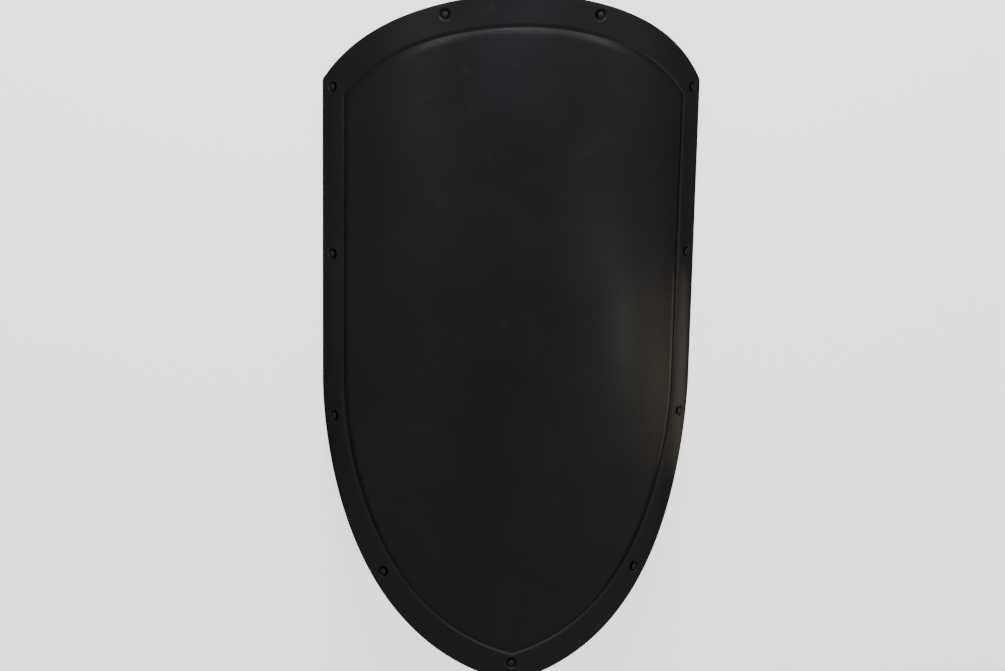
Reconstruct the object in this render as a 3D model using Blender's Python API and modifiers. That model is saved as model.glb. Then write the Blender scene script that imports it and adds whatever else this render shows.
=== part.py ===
"""A kite shield of painted steel: a bent plate with a raised field, a riveted border band and two arm straps.

It lies face up on its two straight side edges, with Z = 0 under them. +Y points to its crown, X runs across
it, and the origin is under the middle of its bounding box. The plate and the band are laid out on the flat
sheet, where heights are counted from the band's face. They are then bent round a cylinder that runs along Y.
"""

import math

import bmesh
import bpy
from mathutils import Matrix, Vector
from mathutils.geometry import interpolate_bezier

# The sheet before it is bent, in metres.
HEIGHT = 0.912
SHEET_WIDTH = 0.566
CROWN_RISE = 0.126
SIDE_LENGTH = 0.396
CORNER_RADIUS = 0.008
SIDE_PULL = 0.118
POINT_PULL = 0.216
POINT_SLOPE = math.radians(14)

# The bend, measured to the face of the border band.
BEND_RADIUS = 0.308

# The plate, its raised field and the channel round it.
PLATE_THICKNESS = 0.0012
CHANNEL_WIDTH = 0.0022
STEP_WIDTH = 0.0034

# The border band.
BAND_WIDTH = 0.040
BAND_THICKNESS = 0.0018
BAND_ROUNDING = 0.0007

# The rivets and their seats in the band.
RIVET_INSET = 0.019
CROWN_RIVET_INSET = 0.0135
POINT_RIVET_INSET = 0.027
CROWN_GAPS = 3
SIDE_GAPS = 4
RIVET_RADIUS = 0.0045
RIVET_DOME = 0.0021
RIVET_SHANK = 0.0023
TAIL_RADIUS = 0.0040
TAIL_HEIGHT = 0.0012
SEAT_RADIUS = 0.0085
SEAT_DEPTH = 0.0015

# How much of a rivet's dome is its upright rim.
DOME_RIM = 0.25

# The straps on the back.
STRAP_SPREAD = math.radians(20)
STRAP_HEIGHT = 0.060
STRAP_THICKNESS = 0.004
STRAP_ROUNDING = 0.0008
FOOT_LENGTH = 0.036
FOREARM_WIDTH = 0.045
FOREARM_SPAN = 0.140
FOREARM_ROOM = 0.074
HAND_WIDTH = 0.034
HAND_SPAN = 0.116
HAND_ROOM = 0.048
LOOP_ROOT_PULL = 0.70
LOOP_TOP_PULL = 0.95

# The steel plates and studs that hold each strap end.
KEEPER_LENGTH = 0.022
KEEPER_MARGIN = 0.003
KEEPER_THICKNESS = 0.0020
KEEPER_ROUNDING = 0.0005
STUD_MARGIN = 0.009
STUD_SHANK = 0.0020
STUD_RADIUS = 0.0042
STUD_CONE = math.radians(30)

# Clearances.
FIT_GAP = 0.0003
BORE_CLEARANCE = 0.0003
CUT_OVERRUN = 0.004
SEAT_OVERRUN = 1.15

# How finely round shapes are divided.
BEND_STEPS = 28
ARC_STEPS = 8
CORNER_STEPS = 2
POINT_STEPS = 12
STEP_RINGS = 2
STRAP_STEPS = 8
TURN_STEPS = 10
SEAT_STEPS = 12
BOWL_STEPS = 2
DOME_STEPS = 3
WALK_STEPS = 200
SMOOTH_ANGLE = math.radians(35)
EDGE_ANGLE = math.radians(60)

# What follows from those.
HALF_WIDTH = SHEET_WIDTH / 2
CROWN_RADIUS = (HALF_WIDTH ** 2 + CROWN_RISE ** 2) / (2 * CROWN_RISE)
CROWN_CENTRE = HEIGHT / 2 - CROWN_RADIUS
CORNER_HEIGHT = HEIGHT / 2 - CROWN_RISE
SHOULDER_HEIGHT = CORNER_HEIGHT - SIDE_LENGTH
BAND_DROP = BAND_THICKNESS + FIT_GAP
RIVET_BORE = RIVET_SHANK + BORE_CLEARANCE
STUD_BORE = STUD_SHANK + BORE_CLEARANCE
BACK_RADIUS = BEND_RADIUS - PLATE_THICKNESS
AXIS_HEIGHT = -(BEND_RADIUS - BAND_DROP - PLATE_THICKNESS) * math.cos(HALF_WIDTH / BEND_RADIUS)


def clear_scene():
    for obj in list(bpy.data.objects):
        bpy.data.objects.remove(obj, do_unlink=True)


def new_collection(name):
    collection = bpy.data.collections.new(name)
    bpy.context.scene.collection.children.link(collection)
    return collection


def principled(name, colour, roughness, metallic):
    material = bpy.data.materials.new(name)
    material.use_nodes = True
    shader = material.node_tree.nodes["Principled BSDF"]
    shader.inputs["Base Color"].default_value = (*colour, 1)
    shader.inputs["Roughness"].default_value = roughness
    shader.inputs["Metallic"].default_value = metallic
    return material


def add_object(name, mesh, material=None, collection=None):
    """A new object in the shield's collection. A mesh that several objects share takes its material once."""
    if material is not None and not mesh.materials:
        mesh.materials.append(material)
    obj = bpy.data.objects.new(name, mesh)
    (collection or PARTS).objects.link(obj)
    return obj


def hide_as_cutter(obj):
    obj.hide_render = True
    obj.display_type = "WIRE"
    return obj


def mesh_from(bm, name):
    mesh = bpy.data.meshes.new(name)
    bm.to_mesh(mesh)
    bm.free()
    return mesh


def evaluated_mesh(obj):
    """The object's mesh with its modifiers applied."""
    bpy.context.view_layer.update()
    graph = bpy.context.evaluated_depsgraph_get()
    return bpy.data.meshes.new_from_object(obj.evaluated_get(graph))


def add_wall(obj, thickness):
    wall = obj.modifiers.new("wall", "SOLIDIFY")
    wall.thickness = thickness
    wall.offset = -1
    wall.use_even_offset = True


def add_chamfer(obj, width):
    edge = obj.modifiers.new("edge", "BEVEL")
    edge.width = width
    edge.segments = 1
    edge.limit_method = "ANGLE"
    edge.angle_limit = EDGE_ANGLE


def difference(obj, cutter):
    modifier = obj.modifiers.new("cut", "BOOLEAN")
    modifier.operation = "DIFFERENCE"
    modifier.object = cutter


def shade_round(mesh):
    mesh.shade_smooth()
    mesh.set_sharp_from_angle(angle=SMOOTH_ANGLE)


# The sheet's outline.


def crown_place(inset, angle):
    """A place on the crown's arc, set in from the edge, at this angle from the middle."""
    radius = CROWN_RADIUS - inset
    return Vector((radius * math.sin(angle), CROWN_CENTRE + radius * math.cos(angle)))


def corner_angle(inset):
    """Where the crown's arc meets the straight side, both set in from the edge."""
    return math.asin((HALF_WIDTH - inset) / (CROWN_RADIUS - inset))


def crown_half(inset):
    """The crown's arc from the middle to the right-hand corner, with the corner's rounding near the edge."""
    end = corner_angle(max(inset, CORNER_RADIUS))
    places = [crown_place(inset, end * i / ARC_STEPS) for i in range(ARC_STEPS + 1)]
    if inset < CORNER_RADIUS:
        centre = crown_place(CORNER_RADIUS, end)
        radius = CORNER_RADIUS - inset
        for i in range(1, CORNER_STEPS + 1):
            angle = end + (math.pi / 2 - end) * i / CORNER_STEPS
            places.append(centre + radius * Vector((math.sin(angle), math.cos(angle))))
    return places


def point_place(inset, t):
    """A place on the right-hand edge, set in from it. t runs from 0 at the shoulder to 1 at the point."""
    shoulder = Vector((HALF_WIDTH, SHOULDER_HEIGHT))
    point = Vector((0, -HEIGHT / 2))
    pull_down = shoulder - Vector((0, SIDE_PULL))
    pull_out = point + POINT_PULL * Vector((math.cos(POINT_SLOPE), math.sin(POINT_SLOPE)))
    u = 1 - t
    place = u ** 3 * shoulder + 3 * u * u * t * pull_down + 3 * u * t * t * pull_out + t ** 3 * point
    heading = u * u * (pull_down - shoulder) + 2 * u * t * (pull_out - pull_down) + t * t * (point - pull_out)
    heading.normalize()
    return place + inset * Vector((heading.y, -heading.x))


def point_half(inset, steps):
    """The right-hand edge from the shoulder to the middle line, set in from the sheet's edge."""
    low, high = 0.5, 1.0
    for _ in range(50):
        middle = (low + high) / 2
        if point_place(inset, middle).x > 0:
            low = middle
        else:
            high = middle
    places = [point_place(inset, high * i / steps) for i in range(steps + 1)]
    places[-1].x = 0
    return places


def sheet_outline(inset):
    """The closed outline, set in from the sheet's edge, clockwise from the middle of the crown."""
    right = crown_half(inset) + point_half(inset, POINT_STEPS)
    left = [Vector((-place.x, place.y)) for place in reversed(right[1:-1])]
    return right + left


# Meshes on the flat sheet, and their bend.


def add_loop(bm, places, height):
    verts = [bm.verts.new((place.x, place.y, height)) for place in places]
    return [bm.edges.new((a, b)) for a, b in zip(verts, verts[1:] + verts[:1])]


def inset_and_raise(bm, faces, inset, rise):
    bmesh.ops.inset_region(bm, faces=faces, thickness=inset, use_even_offset=True, use_boundary=True)
    bmesh.ops.translate(bm, verts=list({vert for face in faces for vert in face.verts}), vec=(0, 0, rise))


def verts_of(geom):
    return [item for item in geom if isinstance(item, bmesh.types.BMVert)]


def flat_plate():
    """The plate's outer surface before the bend: the border, the step up round it and the field."""
    bm = bmesh.new()
    edge = add_loop(bm, sheet_outline(0), -BAND_DROP)
    foot = add_loop(bm, sheet_outline(BAND_WIDTH + CHANNEL_WIDTH), -BAND_DROP)
    bmesh.ops.triangle_fill(bm, use_beauty=True, edges=edge + foot, normal=(0, 0, 1))
    field = bmesh.ops.edgeloop_fill(bm, edges=foot)["faces"]
    bmesh.ops.recalc_face_normals(bm, faces=bm.faces)
    if field[0].normal.z < 0:
        bmesh.ops.reverse_faces(bm, faces=bm.faces[:])
    heights = [BAND_DROP * (1 - math.cos(math.pi * i / STEP_RINGS)) / 2 for i in range(STEP_RINGS + 1)]
    for low, high in zip(heights, heights[1:]):
        inset_and_raise(bm, field, STEP_WIDTH / STEP_RINGS, high - low)
    return mesh_from(bm, "flat_plate")


def flat_band():
    """The band before the bend: a ring between two outlines, with both of its upper edges chamfered."""
    bm = bmesh.new()
    edge = add_loop(bm, sheet_outline(0), -BAND_THICKNESS)
    inner = add_loop(bm, sheet_outline(BAND_WIDTH), -BAND_THICKNESS)
    bmesh.ops.triangle_fill(bm, use_beauty=True, edges=edge + inner, normal=(0, 0, 1))
    raised = bmesh.ops.extrude_face_region(bm, geom=bm.faces[:], use_keep_orig=True)["geom"]
    bmesh.ops.translate(bm, verts=verts_of(raised), vec=(0, 0, BAND_THICKNESS - BAND_ROUNDING))
    top = [item for item in raised if isinstance(item, bmesh.types.BMFace)]
    inset_and_raise(bm, top, BAND_ROUNDING, BAND_ROUNDING)
    bmesh.ops.recalc_face_normals(bm, faces=bm.faces)
    return mesh_from(bm, "flat_band")


def bent_place(place, height):
    """Where a place on the flat sheet, at this height over the band's face, comes to lie."""
    angle = place.x / BEND_RADIUS
    radius = BEND_RADIUS + height
    return Vector((radius * math.sin(angle), place.y, radius * math.cos(angle) + AXIS_HEIGHT))


def bend(mesh):
    """Divides a flat mesh along lines that run down the shield, and bends it round the cylinder."""
    bm = bmesh.new()
    bm.from_mesh(mesh)
    for i in range(1, BEND_STEPS):
        across = SHEET_WIDTH * (i / BEND_STEPS - 0.5)
        geom = bm.verts[:] + bm.edges[:] + bm.faces[:]
        bmesh.ops.bisect_plane(bm, geom=geom, dist=1e-5, plane_co=(across, 0, 0), plane_no=(1, 0, 0))
    for vert in bm.verts:
        vert.co = bent_place(vert.co, vert.co.z)
    bmesh.ops.triangulate(bm, faces=bm.faces[:])
    bm.to_mesh(mesh)
    bm.free()
    shade_round(mesh)


def bend_object(name, flat, cutter, material):
    """A finished sheet piece: its flat mesh, cut by the cutter and then bent."""
    difference(flat, cutter)
    mesh = evaluated_mesh(flat)
    bpy.data.objects.remove(flat, do_unlink=True)
    bpy.data.objects.remove(cutter, do_unlink=True)
    bend(mesh)
    return add_object(name, mesh, material)


# Turned pieces.


def turned_profile(name, profile):
    """The mesh of a profile, given as radius and height from the top of the axis down to its bottom."""
    bm = bmesh.new()
    verts = [bm.verts.new((radius, 0, height)) for radius, height in profile]
    for a, b in zip(verts, verts[1:]):
        bm.edges.new((a, b))
    return mesh_from(bm, name)


def turn(obj, steps):
    screw = obj.modifiers.new("turn", "SCREW")
    screw.steps = steps
    screw.render_steps = steps
    screw.use_merge_vertices = True
    screw.merge_threshold = 1e-5
    screw.use_smooth_shade = True
    return obj


def dome(radius, base, height):
    """Radius and height down a low dome, from its top to the foot of its upright rim, which is at base."""
    rim = height * DOME_RIM
    angles = [math.pi / 2 * i / DOME_STEPS for i in range(DOME_STEPS + 1)]
    curve = [(radius * math.sin(angle), base + rim + (height - rim) * math.cos(angle)) for angle in angles]
    return curve + [(radius, base)]


def dome_below(radius, base, height):
    """The same dome upside down, from its rim at base to its lowest point."""
    return [(across, 2 * base - level) for across, level in reversed(dome(radius, base, height))]


def seat_height(radius):
    """The height of a seat's bowl at this distance from its middle."""
    return SEAT_DEPTH * ((radius / SEAT_RADIUS) ** 2 - 1)


def rivet_profile():
    head = seat_height(RIVET_RADIUS) + FIT_GAP
    tail = -BAND_DROP - PLATE_THICKNESS - FIT_GAP
    shank = [(RIVET_SHANK, head), (RIVET_SHANK, tail)]
    return dome(RIVET_RADIUS, head, RIVET_DOME) + shank + dome_below(TAIL_RADIUS, tail, TAIL_HEIGHT)


def seat_profile():
    """What is cut from the band for one rivet: the bowl, and the bore through its middle."""
    over = SEAT_OVERRUN * SEAT_RADIUS
    low = -BAND_THICKNESS - CUT_OVERRUN
    radii = [SEAT_RADIUS + (RIVET_BORE - SEAT_RADIUS) * i / BOWL_STEPS for i in range(BOWL_STEPS + 1)]
    bowl = [(radius, seat_height(radius)) for radius in [over] + radii]
    return [(0, CUT_OVERRUN), (over, CUT_OVERRUN)] + bowl + [(RIVET_BORE, low), (0, low)]


def bore_profile(radius, top, bottom):
    return [(0, top), (radius, top), (radius, bottom), (0, bottom)]


def cutter_at(name, profile, places, steps):
    """One cutter of many copies of a turned shape, each at its place on the flat sheet."""
    single = turn(add_object(name, turned_profile(name, profile), collection=CUTTERS), steps)
    mesh = evaluated_mesh(single)
    bpy.data.objects.remove(single, do_unlink=True)
    bm = bmesh.new()
    for place in places:
        start = len(bm.verts)
        bm.from_mesh(mesh)
        bm.verts.ensure_lookup_table()
        bmesh.ops.translate(bm, verts=bm.verts[start:], vec=(place.x, place.y, 0))
    return hide_as_cutter(add_object(name, mesh_from(bm, name), collection=CUTTERS))


# The shield's own pieces.


def rivet_places():
    """Names and places of the rivets: equal gaps over the crown, and equal gaps from corner to point."""
    corner = corner_angle(RIVET_INSET)
    edge = [crown_place(RIVET_INSET, corner)] + point_half(RIVET_INSET, WALK_STEPS)
    travelled = [0.0]
    for a, b in zip(edge, edge[1:]):
        travelled.append(travelled[-1] + (b - a).length)
    places = {"point": Vector((0, POINT_RIVET_INSET - HEIGHT / 2))}
    for i in range(SIDE_GAPS):
        along = travelled[-1] * i / SIDE_GAPS
        k = max(j for j, length in enumerate(travelled[:-1]) if length <= along)
        share = (along - travelled[k]) / (travelled[k + 1] - travelled[k])
        place = edge[k].lerp(edge[k + 1], share)
        places[f"right_{i + 1}"] = place
        places[f"left_{i + 1}"] = Vector((-place.x, place.y))
    for i in range(1, CROWN_GAPS):
        places[f"crown_{i}"] = crown_place(CROWN_RIVET_INSET, corner * (2 * i / CROWN_GAPS - 1))
    return places


def make_plate(places, paint):
    flat = add_object("flat_plate", flat_plate())
    add_wall(flat, PLATE_THICKNESS)
    bore = bore_profile(RIVET_BORE, CUT_OVERRUN, -BAND_DROP - PLATE_THICKNESS - CUT_OVERRUN)
    bores = cutter_at("plate_bores", bore, places, TURN_STEPS)
    bend_object("shield_plate", flat, bores, paint)


def make_band(places, paint):
    seats = cutter_at("band_seats", seat_profile(), places, SEAT_STEPS)
    bend_object("border_band", add_object("flat_band", flat_band()), seats, paint)


def make_rivets(places, paint):
    profile = turned_profile("rivet", rivet_profile())
    for name, place in places.items():
        rivet = turn(add_object(f"rivet_{name}", profile, paint), TURN_STEPS)
        rivet.location = bent_place(place, 0)
        rivet.rotation_euler.y = place.x / BEND_RADIUS


# The straps. Their places are counted from the cylinder's axis, in the frame of an empty on it.


def strap_path(span, room, seat):
    """The strap's upper face along its length: a foot, the loop for the arm or hand, and the other foot."""
    root = span / 2
    ends = Vector((root, seat, 0)), Vector((0, seat - room, 0))
    pulls = Vector((root * LOOP_ROOT_PULL, seat, 0)), Vector((root * LOOP_TOP_PULL, seat - room, 0))
    loop = interpolate_bezier(ends[0], pulls[0], pulls[1], ends[1], STRAP_STEPS + 1)
    half = [Vector((root + FOOT_LENGTH, seat, 0))] + list(loop)
    return half + [Vector((-place.x, place.y, 0)) for place in reversed(half[:-1])]


def strap_face(name, width, path):
    """The strap's upper face, open along its path."""
    bm = bmesh.new()
    verts = [bm.verts.new((-width / 2, place.x, place.y)) for place in path]
    edges = [bm.edges.new((a, b)) for a, b in zip(verts, verts[1:])]
    wide = bmesh.ops.extrude_edge_only(bm, edges=edges)["geom"]
    bmesh.ops.translate(bm, verts=verts_of(wide), vec=(width, 0, 0))
    bmesh.ops.recalc_face_normals(bm, faces=bm.faces)
    if bm.faces[0].normal.z < 0:
        bmesh.ops.reverse_faces(bm, faces=bm.faces[:])
    return mesh_from(bm, name)


def keeper_plate(name, width, foot, top):
    """The mesh of the plate under one strap end."""
    size = (width - 2 * KEEPER_MARGIN, KEEPER_LENGTH, KEEPER_THICKNESS)
    place = Matrix.Translation((0, foot, top - KEEPER_THICKNESS / 2))
    bm = bmesh.new()
    bmesh.ops.create_cube(bm, size=1, matrix=place @ Matrix.Diagonal((*size, 1)))
    return mesh_from(bm, name)


def stud_profile(top, face):
    """A stud from just under the shield's back, down its shank, to its head, flush with the plate's face."""
    sink = (STUD_RADIUS - STUD_SHANK) * math.tan(STUD_CONE)
    return [(0, top), (STUD_SHANK, top), (STUD_SHANK, face + sink), (STUD_RADIUS, face), (0, face)]


def stud_bore_profile(top, face):
    """What is cut for a stud: its bore through the strap and the plate, and the sink for its head."""
    rim = STUD_RADIUS + FIT_GAP / math.sin(STUD_CONE)
    sink = (rim - STUD_BORE) * math.tan(STUD_CONE)
    low = face - CUT_OVERRUN
    return [(0, top), (STUD_BORE, top), (STUD_BORE, face + sink), (rim, face), (rim, low), (0, low)]


def make_strap(name, side, width, span, room, leather, steel):
    """One strap with the two plates and four studs that hold its ends."""
    hold = bpy.data.objects.new(f"{name}_hold", None)
    PARTS.objects.link(hold)
    hold.location = (0, STRAP_HEIGHT, AXIS_HEIGHT)
    hold.rotation_euler.y = side * STRAP_SPREAD
    seat = math.sqrt(BACK_RADIUS ** 2 - (width / 2) ** 2) - FIT_GAP
    under = seat - STRAP_THICKNESS - FIT_GAP
    face = under - KEEPER_THICKNESS
    feet = [end * (span + FOOT_LENGTH) / 2 for end in (1, -1)]
    reach = width / 2 - STUD_MARGIN
    studs = [Vector((across * reach, foot)) for foot in feet for across in (1, -1)]
    bores = cutter_at(f"{name}_bores", stud_bore_profile(seat + CUT_OVERRUN, face), studs, TURN_STEPS)

    strap = add_object(name, strap_face(name, width, strap_path(span, room, seat)), leather)
    add_wall(strap, STRAP_THICKNESS)
    add_chamfer(strap, STRAP_ROUNDING)
    difference(strap, bores)
    pieces = [bores, strap]
    for end, foot in zip(("upper", "lower"), feet):
        plate_name = f"{name}_plate_{end}"
        plate = add_object(plate_name, keeper_plate(plate_name, width, foot, under), steel)
        add_chamfer(plate, KEEPER_ROUNDING)
        difference(plate, bores)
        pieces.append(plate)
    top = math.sqrt(BACK_RADIUS ** 2 - reach ** 2) - 2 * FIT_GAP
    profile = turned_profile(f"{name}_stud", stud_profile(top, face))
    for i, place in enumerate(studs, 1):
        stud = turn(add_object(f"{name}_stud_{i}", profile, steel), TURN_STEPS)
        stud.location = (place.x, place.y, 0)
        pieces.append(stud)
    for piece in pieces:
        piece.parent = hold


clear_scene()
PARTS = new_collection("kite_shield")
CUTTERS = new_collection("cutters")


def main():
    field_paint = principled("black_paint", (0.012, 0.012, 0.013), 0.42, 0.0)
    band_paint = principled("band_paint", (0.013, 0.013, 0.014), 0.4, 0.0)
    rivet_paint = principled("rivet_paint", (0.016, 0.016, 0.017), 0.36, 0.0)
    leather = principled("black_leather", (0.02, 0.016, 0.013), 0.6, 0.0)
    steel = principled("dark_steel", (0.05, 0.05, 0.052), 0.4, 0.8)
    places = rivet_places()
    make_plate(places.values(), field_paint)
    make_band(places.values(), band_paint)
    make_rivets(places, rivet_paint)
    make_strap("forearm_strap", 1, FOREARM_WIDTH, FOREARM_SPAN, FOREARM_ROOM, leather, steel)
    make_strap("hand_strap", -1, HAND_WIDTH, HAND_SPAN, HAND_ROOM, leather, steel)


main()
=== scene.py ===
"""The looks of a kite shield in satin black paint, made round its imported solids.

Everything is in metres and in the solids' frame: the shield lies face up, with its crown towards +Y. The
plate and the band are laid out as flat sheet, with heights counted from the band's face, and are then bent.
"""

import math
from bisect import bisect_right
from contextlib import contextmanager

import bmesh
import bpy
from mathutils import Matrix, Vector
from mathutils.geometry import interpolate_bezier
from mathutils.kdtree import KDTree


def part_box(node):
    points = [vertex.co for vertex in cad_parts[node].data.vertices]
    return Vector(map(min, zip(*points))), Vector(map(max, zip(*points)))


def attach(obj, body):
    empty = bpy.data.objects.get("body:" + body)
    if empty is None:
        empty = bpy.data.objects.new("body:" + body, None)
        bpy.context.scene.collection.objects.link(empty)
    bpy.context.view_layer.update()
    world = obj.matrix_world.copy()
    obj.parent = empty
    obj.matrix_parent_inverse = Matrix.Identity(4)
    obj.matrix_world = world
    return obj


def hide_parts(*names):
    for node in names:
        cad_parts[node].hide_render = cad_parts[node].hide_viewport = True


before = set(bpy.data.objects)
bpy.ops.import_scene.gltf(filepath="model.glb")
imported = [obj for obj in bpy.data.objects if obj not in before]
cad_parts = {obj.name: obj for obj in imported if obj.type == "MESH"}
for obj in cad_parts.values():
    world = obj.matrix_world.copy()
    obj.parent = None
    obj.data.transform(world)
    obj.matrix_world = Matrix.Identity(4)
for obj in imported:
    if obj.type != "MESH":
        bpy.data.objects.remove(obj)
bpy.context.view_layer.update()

# The sheet before it is bent.
HALF_WIDTH = 0.283
HEIGHT = 0.912
CROWN_RISE = 0.126
SIDE_LENGTH = 0.396
CORNER_RADIUS = 0.008
SIDE_PULL = 0.118
POINT_PULL = 0.216
POINT_SLOPE = math.radians(14)
BEND_RADIUS = 0.308

# The plate, the channel round its raised field, and the border band.
PLATE_THICKNESS = 0.0012
CHANNEL_WIDTH = 0.0010
STEP_WIDTH = 0.0120
STEP_EASING = 2.3
BAND_WIDTH = 0.040
BAND_THICKNESS = 0.0018
BAND_ROUNDING = 0.0010
FIT_GAP = 0.0003
BAND_DROP = BAND_THICKNESS + FIT_GAP

# The band's inner edge, pressed down in a soft slope.
SLOPE_WIDTH = 0.0050
SLOPE_DROP = 0.0017

# The slow waves of the hammered field: their height and length, and how far in from the step they reach it.
WAVE_HEIGHT = 0.0011
WAVE_LENGTH = 0.13
WAVE_FADE = 0.045

# The rivets, each with a domed head, a shank in a bore, and a tail set on the back.
RIVET_RADIUS = 0.0045
RIVET_DOME = 0.0021
RIVET_RIM = 0.0005
RIVET_SHANK = 0.0023
RIVET_BORE = 0.0026
TAIL_RADIUS = 0.0040
TAIL_HEIGHT = 0.0012

# The seats pressed into the band: the solids' hollow, which sets how high a head rests, and the dish shown.
SEAT_RADIUS = 0.0085
SEAT_DEPTH = 0.0015
DISH_FLOOR = 0.0056
DISH_BRIM = 0.0094
DISH_DEPTH = 0.0013
LIP_HEIGHT = 0.0002
LIP_NARROWNESS = 4

# The straps on the back: how far round from the middle line and how far up they sit, and their loops.
STRAP_SPREAD = math.radians(20)
STRAP_MIDDLE = 0.060
STRAP_THICKNESS = 0.004
FOOT_LENGTH = 0.036
LOOP_ROOT_PULL = 0.70
LOOP_TOP_PULL = 0.95
STRAPS = {
    "forearm_strap": {"turn": STRAP_SPREAD, "width": 0.045, "span": 0.140, "room": 0.074},
    "hand_strap": {"turn": -STRAP_SPREAD, "width": 0.034, "span": 0.116, "room": 0.048},
}

# Their leather: rounded edges and ends, a pressed crease, and a groove that the stitches lie in.
EDGE_ROUNDING = 0.0012
END_ROUNDING = 0.006
SEAM_DEPTH = 0.0003
CREASE_INSET = 0.0026
CREASE_DEPTH = 0.00025
CREASE_WIDTH = 0.0008
GROOVE_INSET = 0.0048
GROOVE_DEPTH = 0.0004
GROOVE_WIDTH = 0.0020
STITCH_PITCH = 0.0042
STITCH_LENGTH = 0.0026
STITCH_DIVE = 0.0006
STITCH_TAPER = 0.6
THREAD_RADIUS = 0.00042

# The plates and studs that hold the strap ends.
KEEPER_LENGTH = 0.022
KEEPER_MARGIN = 0.003
KEEPER_THICKNESS = 0.0020
KEEPER_CORNER = 0.0022
KEEPER_EDGE = 0.0004
FILED_EDGE = 0.0010
STUD_MARGIN = 0.009
STUD_SHANK = 0.0020
STUD_BORE = 0.0023
STUD_RADIUS = 0.0042
STUD_CONE = math.radians(30)

# Colours of the finishes, as linear light.
PAINT_DEEP = (0.0040, 0.0040, 0.0044, 1)
PAINT_WORN = (0.0062, 0.0061, 0.0064, 1)
PAINT_RUBBED = (0.016, 0.015, 0.015, 1)
# The near-black below is painted shade, laid round the rivets' heads and in their seats where their shadow
# falls.
PAINTED_SHADE_BLACK = (0.0008, 0.0007, 0.0007, 1)
RIVET_RUBBED = (0.035, 0.034, 0.033, 1)
SCRATCH_GREY = (0.022, 0.022, 0.022, 1)
SCUFF_GREY = (0.020, 0.020, 0.020, 1)
DUST_GREY = (0.024, 0.023, 0.021, 1)
LEATHER_DEEP = (0.0050, 0.0040, 0.0034, 1)
LEATHER_TOP = (0.0150, 0.0118, 0.0096, 1)
LEATHER_RUBBED = (0.040, 0.026, 0.017, 1)
THREAD_DEEP = (0.022, 0.017, 0.012, 1)
THREAD_TOP = (0.085, 0.066, 0.045, 1)
STEEL_BLACK = (0.022, 0.022, 0.024, 1)
STEEL_BLUE = (0.040, 0.042, 0.048, 1)
STEEL_BARE = (0.17, 0.165, 0.16, 1)
FLOOR_PALE = (0.80, 0.80, 0.80, 1)
FLOOR_PALER = (0.84, 0.84, 0.83, 1)
FLOOR_REFLECTED = (0.15, 0.15, 0.15, 1)
FLOOR_GLOW = (1.6, 1.6, 1.6, 1)
UNLIT = (0, 0, 0, 1)

# How rough and glossy the finishes are where they are clean, and how deep their skin is.
PAINT_ROUGHNESS = 0.33
PAINT_GLOSS = 0.35
PAINT_SKIN = 0.00003
LEATHER_ROUGHNESS = 0.50
LEATHER_GLOSS = 0.4
LEATHER_GRAIN = 0.00022
THREAD_ROUGHNESS = 0.55
THREAD_TWIST = 0.0002
STEEL_ROUGHNESS = 0.22
STEEL_METAL = 0.65
FILE_MARKS = 0.00003
FLOOR_ROUGHNESS = 0.9

# Wear on the paint: shares of its colours, what it adds to the roughness, and how far it cuts the skin.
SCRATCH_SHARE = 0.5
SPOT_SHARE = 0.2
CLOUD_ROUGHENS = 0.05
DUST_ROUGHENS = 0.4
SPECK_ROUGHENS = 0.08
SCRATCH_CUT = 0.6
RUBBED_CUT = 1.2
RUBBED_METAL = 0.7
# How much of the shine the painted shade round the rivets takes away.
PAINTED_SHADE_DULLNESS = 0.5
DUST_AMOUNT = 0.35

# Where dust ends on the step up to the field, and where it is rubbed, as shares of its width from its foot.
DUST_END = 0.1
RUB_MIDDLE = 0.3
RUB_REACH = 0.2

# Faint marks on the field: place, length, width, turn from the X axis in degrees, and how strong they are.
SCUFFS = (
    ((-0.071, 0.362), 0.024, 0.008, -48, 0.30),
    ((0.001, -0.317), 0.009, 0.008, 0, 0.12),
    ((-0.011, -0.344), 0.011, 0.008, 30, 0.12),
    ((-0.137, 0.172), 0.012, 0.007, -10, 0.14),
    ((0.052, -0.205), 0.026, 0.006, 62, 0.10),
)

# The fine scratches: the turn of each set in degrees, and how many times it starts anew in a metre.
SCRATCH_SETS = ((20, 14), (-35, 20), (75, 17), (-80, 25))

# How finely things are divided: columns along half the edge, rows across the sheet, steps of round forms.
CROWN_COLUMNS = 60
CORNER_COLUMNS = 6
SIDE_COLUMNS = 64
POINT_COLUMNS = 104
BAND_ROWS = 17
SLOPE_STEPS = 12
BORDER_ROWS = 10
STEP_ROWS = 14
SEAT_CUTS = 4
EDGE_STEPS = 4
STRAP_STEP = 0.003
STRAP_FACE_STEPS = 6
STRAP_END_STEPS = 8
LOOP_STEPS = 200
DOME_STEPS = 8
KEEPER_CORNER_STEPS = 6
KEEPER_EDGE_STEPS = 3
TURNED_SIDES = 40
THREAD_SIDES = 8
HALVINGS = 50

# Up to what angle in degrees each kind of piece is shaded smooth.
SMOOTH_SHEET = 35
SMOOTH_RIVET = 40
SMOOTH_LEATHER = 50
SMOOTH_THREAD = 60
SMOOTH_STEEL = 30

# How near points are to be welded, how near stations along a strap, and how squarely a picked face looks.
WELD_REACH = 1e-6
STATION_REACH = 1e-4
SQUARE_ON = 0.9

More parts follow.
